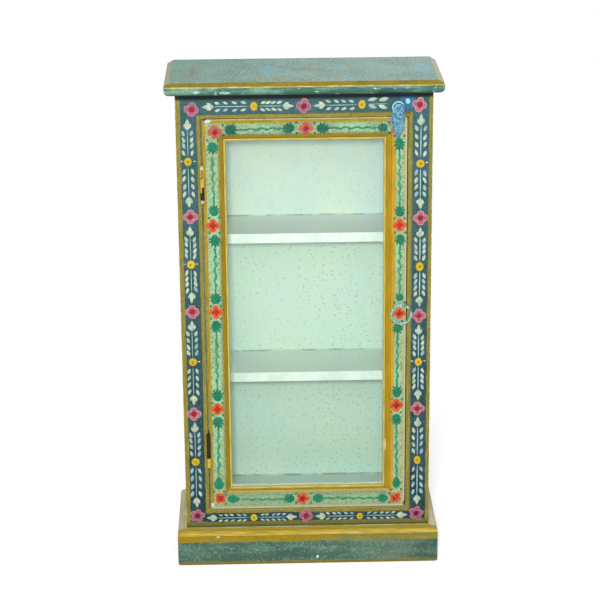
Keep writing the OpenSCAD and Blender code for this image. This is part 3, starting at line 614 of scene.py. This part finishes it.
HINGES = " ".join(
    f"{end}_hinge_{piece}" for end in ("upper", "lower") for piece in ("case_leaf", "door_leaf", "pin")
)
for name, coat, nodes in (
    ("top_paint", top_coat, "top_board top_nails"),
    ("side_paint", side_wood, "left_side right_side shelf_nails"),
    ("plinth_paint", plinth_coat, "plinth_front plinth_left plinth_right plinth_nails"),
    ("inside_paint", inside_coat, "floor_board upper_shelf lower_shelf door_stop"),
    ("back_board", back_coat, "back_panel"),
    ("frame_stile_paint", frame_coat(ALONG_Z), "frame_stile_left frame_stile_right"),
    ("frame_rail_paint", frame_coat(ALONG_X), "frame_rail_top frame_rail_bottom"),
    ("hinge_iron", hinge_coat, "hinge_screws_case hinge_screws_door " + HINGES),
    ("latch_paint", latch_coat, "latch_plate latch_washer latch_screw"),
    ("ring_paint", ring_coat((102, 148, 148), (158, 198, 190)), "ring"),
    ("split_pin_paint", ring_coat((206, 200, 168), (234, 228, 200)), "ring_staple"),
    ("nail_steel", steel_coat, "back_nails glazing_pins"),
    ("pane_glass", glass_coat, "glass_pane"),
    ("bead_paint", bead_coat, "glazing_bead_left glazing_bead_right glazing_bead_top glazing_bead_bottom"),
    ("door_left_paint", door_coat("left", ALONG_Z, 19.2), "door_stile_left"),
    ("door_right_paint", door_coat("right", ALONG_Z, 14.6, 3.4), "door_stile_right"),
    ("door_top_paint", door_coat("high", ALONG_X, 20.2, 4.8), "door_rail_top mitre_nails"),
    ("door_bottom_paint", door_coat("low", ALONG_X, 19.7, 3.8), "door_rail_bottom"),
):
    material = finish(name, coat)
    for node in nodes.split():
        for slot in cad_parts[node].material_slots:
            slot.material = material


# Enamels for the brushed flowers

def enamel(name, deep, light, rim_colour, rim_share=0.6, wear=0.35, under=(96, 120, 118)):
    """Brushed enamel: each stroke has its own shade, and a paler or darker rim."""

    def coat(place):
        shade = place.add("ShaderNodeAttribute", {"attribute_name": "shade"}, out=2)
        rim = place.add("ShaderNodeAttribute", {"attribute_name": "rim"}, out=2)
        dab = place.noise(1.4, 2, shift=7.0)
        colour = (dab.rise(0.3, 0.7) * 0.5 + shade * 0.5).mix(deep, light)
        colour = (rim.rise(0.05, 0.7) * rim_share).mix(colour, rim_colour)
        worn = place.noise(2.1, 2, shift=3.3).rise(0.54, 0.64)
        return painted((worn * wear).mix(colour, under), dab, rough=0.42, depth=0.1)

    return finish(name, coat)


CREAM = enamel("cream_strokes", (138, 162, 146), (208, 214, 182), (132, 164, 156))
DIM_CREAM = enamel("stem_strokes", (150, 184, 186), (184, 208, 202), (150, 184, 186))
PINK = enamel("pink_strokes", (158, 82, 96), (184, 112, 122), (200, 150, 156), 0.9, 0.35, (176, 136, 142))
MAUVE = enamel("mauve_strokes", (142, 78, 98), (168, 102, 120), (182, 132, 144), 0.8, 0.4, (140, 112, 128))
PLUM = enamel("plum_eyes", (78, 24, 46), (106, 36, 62), (110, 46, 74), 0.6, 0.3, (84, 40, 58))
RED = enamel("flower_eyes", (120, 28, 44), (152, 42, 58), (150, 60, 76), 0.6, 0.3, (110, 38, 56))
VEIN = enamel("petal_veins", (150, 62, 80), (172, 84, 102), (184, 106, 122), 0.8, 0.3, (184, 118, 132))
YELLOW = enamel("yellow_dots", (182, 154, 26), (214, 190, 42), (186, 152, 28), 0.5, 0.5, (140, 130, 32))
OCHRE = enamel("dot_eyes", (148, 104, 18), (176, 128, 30), (184, 146, 34), 0.7, 0.5, (126, 116, 34))
ORANGE = enamel("orange_strokes", (182, 72, 32), (208, 98, 46), (206, 116, 68), 0.7, 0.35, (178, 116, 74))
SCARLET = enamel("orange_flower_eyes", (124, 32, 26), (190, 48, 38), (184, 64, 40), 0.5, 0.3, (180, 70, 44))
FROST = enamel("frosty_strokes", (128, 158, 162), (172, 194, 192), (120, 150, 156))
FADED = enamel(
    "faded_orange_strokes", (158, 76, 52), (184, 96, 68), (188, 120, 92), 0.7, 0.4, (160, 120, 88)
)
DARK_GREEN = enamel("dark_leaves", (20, 76, 62), (40, 108, 84), (48, 116, 94), 0.5, 0.35, (64, 120, 98))
DARK_VINE = enamel(
    "dark_vine_strokes", (44, 104, 84), (72, 134, 108), (84, 142, 116), 0.6, 0.45, (112, 146, 112)
)
GREEN = enamel("green_leaves", (18, 96, 70), (40, 132, 98), (52, 138, 108), 0.5, 0.3, (70, 144, 112))
SLIVER = enamel("mitre_slivers", (206, 176, 112), (228, 206, 152), (198, 160, 96))
VINE = enamel("vine_strokes", (36, 116, 86), (68, 150, 118), (88, 162, 130), 0.6, 0.4, (120, 172, 132))


# Brush strokes: each kind is shaped once, lying flat with its length along Y and its crown along Z

def deselect():
    if bpy.context.object and bpy.context.object.mode == "EDIT":
        bpy.ops.object.mode_set(mode="OBJECT")
    bpy.ops.object.select_all(action="DESELECT")


def pick(obj, wanted):
    """Selects the vertices of the object in edit mode that wanted accepts."""
    bpy.context.tool_settings.mesh_select_mode = (True, False, False)
    bpy.ops.mesh.select_all(action="DESELECT")
    mesh = bmesh.from_edit_mesh(obj.data)
    for vertex in mesh.verts:
        if wanted(vertex):
            vertex.select_set(True)
    mesh.select_flush_mode()
    bmesh.update_edit_mesh(obj.data)


def crown(obj, width, height):
    """Draws the outline in and lifts it, so that a flat stroke gets a soft crown and a closed back."""

    def outline(vertex):
        return vertex.co.z < height / 2

    bpy.ops.mesh.select_all(action="SELECT")
    bpy.ops.mesh.inset(thickness=width)
    bpy.ops.transform.translate(value=(0, 0, height))
    bpy.ops.object.mode_set(mode="OBJECT")
    rim = obj.data.attributes.new("rim", "FLOAT", "POINT")
    for point, vertex in zip(rim.data, obj.data.vertices):
        point.value = float(outline(vertex))
    bpy.ops.object.mode_set(mode="EDIT")
    pick(obj, outline)
    bpy.ops.mesh.edge_face_add()
    bpy.ops.mesh.select_all(action="SELECT")
    bpy.ops.mesh.normals_make_consistent(inside=False)
    bpy.ops.object.mode_set(mode="OBJECT")
    bpy.ops.object.shade_smooth_by_angle(angle=math.radians(60))
    return obj


def shape(name, corners, squeezes, inset, height):
    """A stroke from a disc of that many corners; each squeeze scales its part between two values of y."""
    deselect()
    bpy.ops.mesh.primitive_circle_add(vertices=corners, radius=0.5, fill_type="NGON", location=(0, 0, 0))
    obj = bpy.context.object
    obj.name = name
    bpy.ops.object.mode_set(mode="EDIT")
    for low, high, size in squeezes:
        pick(obj, lambda v: low < v.co.y < high)
        bpy.ops.transform.resize(value=size)
    return crown(obj, inset, height)


# A leaf is drawn to a point at its tip, and a petal is narrower towards the flower's eye
POINTED = ((0.4, 1, (0.25, 1, 1)), (0.2, 0.4, (0.82, 1, 1)), (-1, -0.4, (0.7, 1, 1)))
LEAF = shape("leaf_stroke", 12, POINTED, 0.13, 0.04)
PETAL = shape("petal_stroke", 14, ((-1, -0.3, (0.6, 1, 1)), (0.35, 1, (1.15, 0.96, 1))), 0.14, 0.045)
DOT = shape("dot_stroke", 16, (), 0.11, 0.05)
STEM = shape("stem_stroke", 8, ((-0.3, 0.3, (1.0, 2.2, 1)),), 0.12, 0.04)
ON_FACE = Matrix.Rotation(math.radians(90), 4, "X")
TALL = 5.0  # millimetres of relief for each unit of a stroke's height
FINGERS = (
    (0, 0.82, 0.3), (-25, 0.72, 0.26), (25, 0.72, 0.26), (-52, 0.64, 0.24), (52, 0.64, 0.24),
    (-84, 0.5, 0.22), (84, 0.5, 0.22),
)  # each finger's turn, length and width
PRONGS = (
    (0.56, 0, 0.92, 0.34, 0), (0.3, 0, 0.62, 0.46, 180), (0.37, -0.18, 0.48, 0.26, -24),
    (0.37, 0.18, 0.48, 0.26, 24),
)  # each prong's place along and aside, length, width and turn


def beyond(x, z, way, reach, aside=0.0):
    """The point that lies reach along way, clockwise from up, and aside to the right of it."""
    lean = math.radians(way)
    ax, az = math.sin(lean), math.cos(lean)
    return x + ax * reach + az * aside, z + az * reach - ax * aside


class Border:
    """Collects copies of the strokes on one board, then joins them into one piece."""

    def __init__(self, name, body, slot, skew=0.0, leaf=GREEN, tendril=VINE):
        self.name, self.body, self.slot, self.skew = name, body, slot, skew
        self.leaf, self.tendril, self.strokes = leaf, tendril, []

    def stroke(self, shape, coat, x, z, length, width, turn=0.0, lift=0.0, play=1.0):
        """One stroke with its middle at x, z; turn is the direction of its tip, clockwise from up."""
        turn += random.uniform(-5, 5) * play
        length *= 1 + random.uniform(-0.08, 0.08) * play
        width *= 1 + random.uniform(-0.1, 0.1) * play
        x += random.uniform(-0.25, 0.25) * play + self.skew * (z - SKEW_FROM)
        z += random.uniform(-0.25, 0.25) * play
        data = shape.data.copy()
        data.transform(Matrix.Diagonal((width * MM, length * MM, TALL * MM, 1)))
        data.transform(Matrix.Rotation(math.radians(-turn), 4, "Z"))
        data.transform(ON_FACE)
        # No two strokes lie in one plane
        lift += random.uniform(0, 0.05)
        data.transform(Matrix.Translation(Vector((x, FACE - lift, z)) * MM))
        shade = data.attributes.new("shade", "FLOAT", "POINT")
        value = random.random()
        for point in shade.data:
            point.value = value
        data.materials.append(coat)
        obj = bpy.data.objects.new("stroke", data)
        bpy.context.collection.objects.link(obj)
        self.strokes.append(obj)

    def flower(self, x, z, petals=4, size=17.0, turn=0.0, petal=PINK, eye=RED, eye_size=7.0):
        """Petals with a vein each, round an eye."""
        ways = [turn + 360 * i / petals for i in range(petals)]
        wide = size * (0.52 if petals == 4 else 0.42)
        for i, way in enumerate(ways):
            self.stroke(PETAL, petal, *beyond(x, z, way, size * 0.26), size * 0.5, wide, way, 0.02 * (i % 2))
        vein = SCARLET if petal is ORANGE else VEIN
        for way in ways:
            self.stroke(LEAF, vein, *beyond(x, z, way, size * 0.19), 4.8, 4.0, way, 0.12)
        self.stroke(DOT, eye, x, z, eye_size * 1.08, eye_size, 30, 0.22)

    def hand(self, x, z, way, length, wide):
        """A many-fingered leaf: brushed fingers spread from a round foot; x, z is its middle."""
        foot = beyond(x, z, way, -0.24 * length)
        self.stroke(DOT, self.leaf, *foot, length * 0.46, wide * 0.72, way)
        start = beyond(x, z, way, -0.16 * length)
        for spread, reach, thick in FINGERS:
            long = min(length * reach, wide * 0.58 / max(0.2, abs(math.sin(math.radians(spread)))))
            middle = beyond(*start, way + spread, long / 2)
            self.stroke(LEAF, self.leaf, *middle, long, wide * thick, way + spread, 0.03)

    def drop(self, x, z, way, length, wide):
        """One broad leaf, round at its foot, with a small barb at each side."""
        self.stroke(LEAF, self.leaf, x, z, length, wide * 0.7, way, play=0.4)
        foot = beyond(x, z, way, -0.12 * length)
        self.stroke(DOT, self.leaf, *foot, length * 0.74, wide * 0.86, way)
        for hand in (-1, 1):
            barb = beyond(x, z, way, -0.1 * length, hand * wide * 0.4)
            self.stroke(LEAF, self.leaf, *barb, 3.4, 1.9, way + hand * 60)

    def dot(self, x, z, length, width):
        """A yellow dot with a darker eye."""
        self.stroke(DOT, YELLOW, x, z, length, width, lift=0.1)
        self.stroke(DOT, OCHRE, x, z, 3.4, 2.8, lift=0.24)

    def vine(self, start, end):
        """Short overlapping dabs that follow a wavy line."""
        swing, wave, dab, wide = 1.2, 12.5, 2.8, 3.4
        run = Vector((end[0] - start[0], end[1] - start[1]))
        length = run.length
        side = Vector((run.y, -run.x)).normalized()
        phase, steps = random.uniform(0, 6.28), int(length / dab)
        spots = []
        for i in range(steps + 1):
            t = i / steps
            sway = math.sin(phase + 2 * math.pi * t * length / wave)
            spots.append(Vector(start) + run * t + side * (swing * min(1, 5 * t, 5 * (1 - t)) * sway))
        for first, second in zip(spots, spots[1:]):
            middle, step = (first + second) / 2, second - first
            self.stroke(
                LEAF, self.tendril, *middle, step.length + 2.6, wide * random.uniform(0.55, 1.2),
                math.degrees(math.atan2(step.x, step.y)), play=0.6,
            )

    def bud(self, x, z, way):
        """A three-pronged bud; x, z is its foot and way the direction of its tip."""
        size = 14.0
        for share, out, length, wide, spread in PRONGS:
            middle = beyond(x, z, way, share * size, out * size)
            self.stroke(LEAF, CREAM, *middle, size * length, size * wide, way + spread, 0.02)

    def spray(self, x, z, way, length, pairs, spread=4.9, leaf=(8.2, 3.7), thick=0.9):
        """A stem from the foot x, z with pairs of leaves, ending in a bud; way is the stem's direction."""
        stem = length - 13.5
        self.stroke(STEM, DIM_CREAM, *beyond(x, z, way, stem / 2), stem, thick, way, play=0.1)
        gap = (stem - 3.0) / pairs
        for i in range(pairs):
            at = 2.2 + gap * (i + 0.55)
            for hand in (-1, 1):
                shift = random.uniform(-0.8, 0.8)
                coat = FROST if random.random() < (0.5 if z < 200 else 0.12) else CREAM
                middle = beyond(x, z, way, at + shift, hand * spread)
                self.stroke(LEAF, coat, *middle, *leaf, way + hand * 20)
        self.bud(*beyond(x, z, way, stem - 1.5), way)

    def join(self):
        deselect()
        for obj in self.strokes:
            obj.select_set(True)
        bpy.context.view_layer.objects.active = self.strokes[0]
        bpy.ops.object.join()
        piece = bpy.context.object
        piece.name = piece.data.name = self.name
        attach(piece, self.body)


def stile_border(name, x, flowers, dots, flower_x, dashes, thick):
    """Flowers and sprays down one stile of the face frame, from the top to the foot."""
    border = Border(name, "case", "frame_paint")
    for i, z in enumerate(flowers):
        last = i == len(flowers) - 1
        petals, size, eye = (5, 18.2, PLUM) if last else (4, 17.0, RED)
        petal = MAUVE if last or (i == 0 and x[0] < 0) else PINK
        border.flower(flower_x[i], z, petals, size, 12 if last or i == 0 else 0, petal, eye)
    for i, z in enumerate(dots):
        border.dot(x[i], z, 10.4, 9.0)
        for hand in dashes[i]:
            border.stroke(LEAF, CREAM, x[i] + hand * 7.4, z + 0.8, 3.6, 1.9, 90 * hand)
        up = flowers[i] - 9.5 - (z + 4.8)
        down = (z - 4.8) - (flowers[i + 1] + 9.5)
        border.spray(x[i], z + 4.8, 0, up, 4 if up > 42 else 3, thick=thick)
        border.spray(x[i], z - 4.8, 180, down, 4 if down > 42 else 3, thick=thick)
    border.join()


stile_border(
    "left_stile_flowers", (-133.6, -133.6, -134.4, -134.2), (567.8, 440.8, 324.8, 195.7, 62.6),
    (506.5, 382.8, 261.6, 133.6), (-128.0, -132.7, -133.4, -134.6, -133.7), ((-1, 1), (-1, 1), (1,), ()), 0.9,
)
stile_border(
    "right_stile_flowers", (133.2, 133.5, 132.9, 132.9), (570.0, 435.7, 315.6, 198.1, 61.2),
    (500.9, 376.3, 257.6, 131.2), (131.4, 133.7, 132.9, 132.3, 132.4), ((1,), (), (-1, 1), ()), 1.4,
)

top = Border("top_rail_flowers", "case", "frame_paint")
top.flower(-0.6, 570.2, turn=8, petal=MAUVE, eye=PLUM)
for x, flower_left, flower_right in ((-57.4, -128.0, -0.6), (65.7, -0.6, None)):
    top.dot(x, 570.9, 9.8, 9.0)
    top.spray(x - 4.8, 570.8, -90, (x - 4.8) - (flower_left + 10.0), 4, 4.3, (7.0, 3.2))
    if flower_right is not None:
        top.spray(x + 4.8, 570.8, 90, (flower_right - 10.0) - (x + 4.8), 4, 4.3, (7.0, 3.2))
top.stroke(STEM, DIM_CREAM, 83.5, 571.5, 25, 0.75, 90, play=0.1)
for x, z, turn in ((78.2, 577.0, 76), (90.6, 577.0, 78), (78.2, 568.4, 112), (89.6, 567.9, 108)):
    top.stroke(LEAF, CREAM, x, z, 11.5, 4.6, turn)
top.join()

low = Border("bottom_rail_flowers", "case", "frame_paint")
low.flower(-1.8, 60.2, turn=10, petal=MAUVE)
for x, flower_left, flower_right in ((-65.3, -133.7, -1.8), (63.6, -1.8, 132.4)):
    low.dot(x, 58.6, 8.8, 8.6)
    low.spray(x - 4.6, 59.0, -90, (x - 4.6) - (flower_left + 9.5), 5, 3.6, (6.2, 2.5))
    low.spray(x + 4.6, 59.0, 90, (flower_right - 9.5) - (x + 4.6), 5, 3.6, (6.2, 2.5))
low.join()


# Door border: orange flowers, many-pointed leaves and a wavy vine between them

def door_border(
    name, flowers, clusters, vines, skew=0.0, cracks=(), petal=ORANGE, eye=SCARLET, leaf=GREEN, tendril=VINE
):
    """Flowers, leaves and vines on one door member; skew moves the upper ones sideways."""
    border = Border(name, "door", "door_paint", skew, leaf, tendril)
    for x, z, petals, size, turn in flowers:
        border.flower(x, z, petals, size, turn, petal, RED if petals == 5 else eye, 6.4)
    for x, z, way, length, wide in clusters:
        (border.drop if length > 16.5 else border.hand)(x, z, way, length, wide)
        for hand in (-1, 1):
            barb = beyond(x, z, way, -0.62 * length, hand * 6.0)
            border.stroke(LEAF, leaf, *barb, 4.2, 2.6, way + hand * 150)
    for start, end in vines:
        border.vine(start, end)
    # Pale slivers where the paint has cracked across a flower at a mitre
    for first, last, pieces in cracks:
        way = math.degrees(math.atan2(last[0] - first[0], last[1] - first[1]))
        long = math.dist(first, last) / pieces
        for i in range(pieces):
            middle = beyond(*first, way, long * (i + 0.5))
            border.stroke(STEM, SLIVER, *middle, 1.02 * long, 0.55, way, lift=0.5, play=0.4)
    border.join()


door_border(
    "door_left_flowers",
    ((-106.8, 430.0, 4, 16.5, 0), (-105.6, 323.8, 4, 16.5, 0), (-106.6, 201.5, 4, 16, 0)),
    (
        (-105.3, 522.5, 180, 15, 13.5), (-105.0, 448.0, 0, 14, 13.5), (-105.0, 411.5, 180, 16, 13),
        (-105.6, 340.5, 0, 15, 13.5), (-105.6, 306.0, 180, 16, 13.0), (-106.2, 219.0, 0, 16, 13.5),
        (-106.0, 184.0, 180, 16, 13), (-106.9, 105.5, 0, 19, 13.5),
    ),
    (
        ((-106, 512), (-105, 456)), ((-105, 402), (-105.6, 349)), ((-105.6, 296), (-106, 228)),
        ((-106, 175), (-106.8, 115)),
    ),
)
door_border(
    "door_right_flowers",
    ((111.0, 427.2, 4, 16, 0), (110.8, 318.9, 4, 14.5, 0), (107.6, 202.7, 4, 17, 0)),
    (
        (110.6, 524.0, 180, 16, 12.5), (111.3, 444.0, 0, 14, 12.5), (111.8, 409.5, 180, 14, 12.5),
        (111.2, 339.0, 0, 11, 11), (108.9, 300.0, 180, 15, 12), (108.3, 220.5, 0, 16, 12.5),
        (107.6, 184.5, 180, 15, 12), (107.8, 103.5, 0, 17, 11),
    ),
    (
        ((110.8, 514), (111.2, 452)), ((111.6, 402), (111.2, 345)), ((108.9, 291), (108.3, 229)),
        ((107.6, 176), (107.8, 112)),
    ),
    -SKEW,
)
door_border(
    "door_top_flowers",
    ((-102.2, 541.2, 4, 17, 0), (1.7, 544.2, 4, 17, 0), (106.5, 541.5, 4, 15, 0)),
    (
        (-83.7, 543.5, 90, 15, 13), (-18.2, 544.6, -90, 15, 13), (20.8, 544.2, 90, 15, 13),
        (89.5, 543.8, -90, 12, 12),
    ),
    (((-74, 543.5), (-27, 544.5)), ((30, 544.2), (82, 543.8))),
    petal=FADED, eye=RED, leaf=DARK_GREEN, tendril=DARK_VINE,
)
door_border(
    "door_bottom_flowers",
    ((-105.0, 85.2, 4, 15.2, 45), (-5.9, 83.2, 5, 17, 20), (106.9, 82.4, 4, 15, 40)),
    (
        (-88.6, 83.8, 90, 17, 11.5), (-22.1, 83.2, -90, 14, 12.5), (13.2, 83.2, 90, 14, 12.5),
        (91.3, 81.9, -90, 14, 12),
    ),
    (((-79.5, 83.2), (-30, 82.6)), ((21.5, 83), (83, 82))),
    cracks=(((95.6, 94.8), (113.4, 76.6), 3),),
)

for stroke in (LEAF, PETAL, DOT, STEM):
    bpy.data.objects.remove(stroke)


# Floor, light and camera

def floor_coat(place):
    """Pale floor that keeps the cabinet's shadow and looks white to the camera."""
    x, y, _ = place.parts()
    cloud = place.noise(900, 2)
    colour = cloud.mix((240, 241, 240), (244, 244, 243))
    matt = place.add("ShaderNodeBsdfDiffuse", {}, {"Color": colour})
    glow = place.add("ShaderNodeEmission", {}, {"Color": (1, 1, 1, 1), "Strength": 0.5})
    both = place.add("ShaderNodeAddShader", {}, {0: matt, 1: glow})
    white = place.add("ShaderNodeEmission", {}, {"Color": (1, 1, 1, 1), "Strength": 1.0})
    far = place.maths("SQRT", x * x + y * y).rise(230, 560)
    seen = place.add("ShaderNodeMixShader", {}, {0: far, 1: both, 2: white})
    ray = place.add("ShaderNodeLightPath", out=0)
    return place.add("ShaderNodeMixShader", {}, {0: ray, 1: matt, 2: seen})


deselect()
bpy.ops.mesh.primitive_plane_add(size=40, location=(0, 0, 0))
floor = bpy.context.object
floor.name = "floor"
floor.data.materials.append(finish("pale_floor", floor_coat))

world = bpy.data.worlds.new("studio")
bpy.context.scene.world = world
world.use_nodes = True
world.node_tree.nodes.clear()
sky = Wire(world.node_tree)
seen = sky.add("ShaderNodeLightPath", out=0)
soft = sky.add("ShaderNodeBackground", {}, {"Color": (1, 1, 1, 1), "Strength": 0.24})
white = sky.add("ShaderNodeBackground", {}, {"Color": (1, 1, 1, 1), "Strength": 1.0})
shown = sky.add("ShaderNodeMixShader", {}, {0: seen, 1: soft, 2: white})
end = world.node_tree.nodes.new("ShaderNodeOutputWorld")
world.node_tree.links.new(shown.socket, end.inputs["Surface"])


for name, place, size, power in (
    ("front_lamp", (-0.12, -2.36, 1.2), 0.22, 40),
    ("upper_lamp", (-0.16, -2.1, 1.8), 1.2, 17),
    ("back_lamp", (0.5, 2.6, 1.3), 1.2, 16),
):
    # A square soft lamp that faces the middle of the cabinet; metres and watts
    panel = bpy.data.lights.new(name, "AREA")
    panel.size, panel.energy = size, power
    lamp = bpy.data.objects.new(name, panel)
    bpy.context.collection.objects.link(lamp)
    lamp.location = place
    lamp.rotation_euler = (Vector((0, 0, 0.3)) - Vector(place)).to_track_quat("-Z", "Y").to_euler()

# The camera was fitted to the photograph: its angles, its place and its focal length in pixels
FOCAL, PICTURE, SENSOR = 2047.9, 600, 36.0
PLACE = Vector((-52.99, -2327.9, 1111.6))
yaw, pitch, roll = 0.0203, 0.3281, -0.0091
ahead = Vector((math.sin(yaw) * math.cos(pitch), math.cos(yaw) * math.cos(pitch), -math.sin(pitch)))
level = Vector((math.cos(yaw), -math.sin(yaw), 0))
upright = level.cross(ahead)
across = level * math.cos(roll) + upright * math.sin(roll)
above = upright * math.cos(roll) - level * math.sin(roll)
lens = bpy.data.cameras.new("camera")
lens.sensor_fit, lens.sensor_width, lens.lens = "HORIZONTAL", SENSOR, FOCAL * SENSOR / PICTURE
lens.clip_start, lens.clip_end = 0.05, 100
camera = bpy.data.objects.new("camera", lens)
bpy.context.collection.objects.link(camera)
turn = Matrix((across, above, -ahead)).transposed().to_4x4()
camera.matrix_world = Matrix.Translation(PLACE * MM) @ turn
bpy.context.scene.camera = camera
bpy.context.scene.view_settings.view_transform = "Standard"
